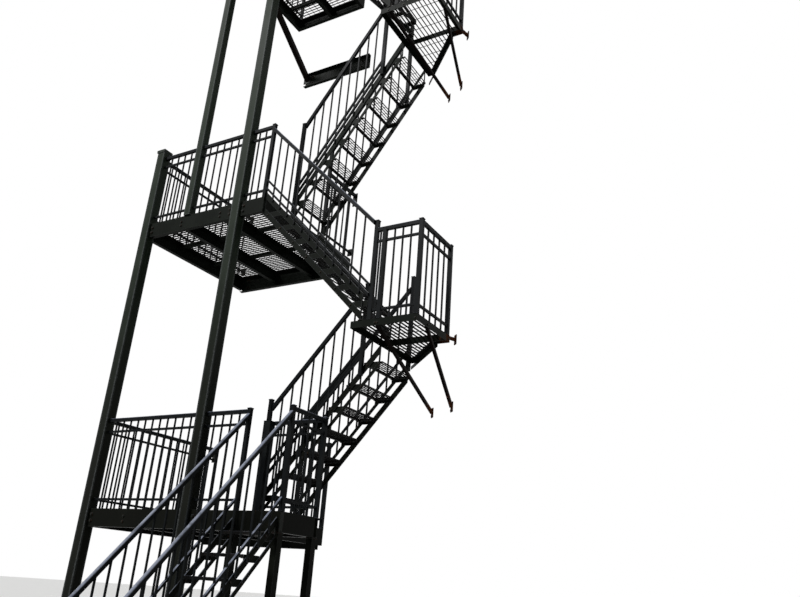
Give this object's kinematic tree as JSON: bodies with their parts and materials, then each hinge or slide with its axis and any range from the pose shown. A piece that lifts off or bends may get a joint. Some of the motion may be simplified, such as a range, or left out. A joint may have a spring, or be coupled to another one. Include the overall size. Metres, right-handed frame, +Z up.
{
  "type": "fire escape stair",
  "caption": "Switchback steel fire escape stair fixed to a wall: raised porch with entry steps, railed balconies and landings, grating floors and treads, tall square posts.",
  "frame": {"origin": "centre of the underside of the left post's base plate, at ground level", "axes": "+X right along the wall seen from the street, +Y towards the wall, +Z up"},
  "size_m": [4.4433, 3.8545, 11.77],
  "materials": {
    "post_paint": "gloss black paint, weathered",
    "rail_paint": "gloss black paint, weathered",
    "frame_paint": "gloss black paint, weathered",
    "grating_paint": "gloss black paint, weathered",
    "tread_paint": "gloss black paint, weathered"
  },
  "bodies": {
    "root": {"post_left": "post_paint", "post_right": "post_paint", "post_upper": "post_paint", "porch_beams": "frame_paint", "porch_deck": "grating_paint", "porch_legs": "frame_paint", "porch_front_rail": "rail_paint", "porch_left_rail": "rail_paint", "porch_right_rail": "rail_paint", "porch_bay_rail": "rail_paint", "entry_stringers": "frame_paint", "entry_treads": "tread_paint", "entry_handrails": "rail_paint", "flight_1_stringers": "frame_paint", "flight_1_treads": "tread_paint", "flight_1_handrails": "rail_paint", "flight_2_stringers": "frame_paint", "flight_2_treads": "tread_paint", "flight_2_handrail": "rail_paint", "flight_3_stringers": "frame_paint", "flight_3_treads": "tread_paint", "flight_3_handrails": "rail_paint", "flight_4_stringers": "frame_paint", "flight_4_treads": "tread_paint", "flight_4_handrail": "rail_paint", "landing_1_frame": "frame_paint", "landing_1_deck": "grating_paint", "landing_1_front_rail": "rail_paint", "landing_1_side_rail": "rail_paint", "landing_2_frame": "frame_paint", "landing_2_deck": "grating_paint", "landing_2_front_rail": "rail_paint", "landing_2_side_rail": "rail_paint", "balcony_1_beams": "frame_paint", "balcony_1_deck": "grating_paint", "balcony_1_front_rail": "rail_paint", "balcony_1_left_rail": "rail_paint", "balcony_1_right_rail": "rail_paint", "balcony_2_beams": "frame_paint", "balcony_2_deck": "grating_paint", "balcony_2_front_rail": "rail_paint", "balcony_2_left_rail": "rail_paint", "balcony_2_right_rail": "rail_paint", "floor_joists": "frame_paint", "wall_braces": "frame_paint"}
  },
  "joints": []
}
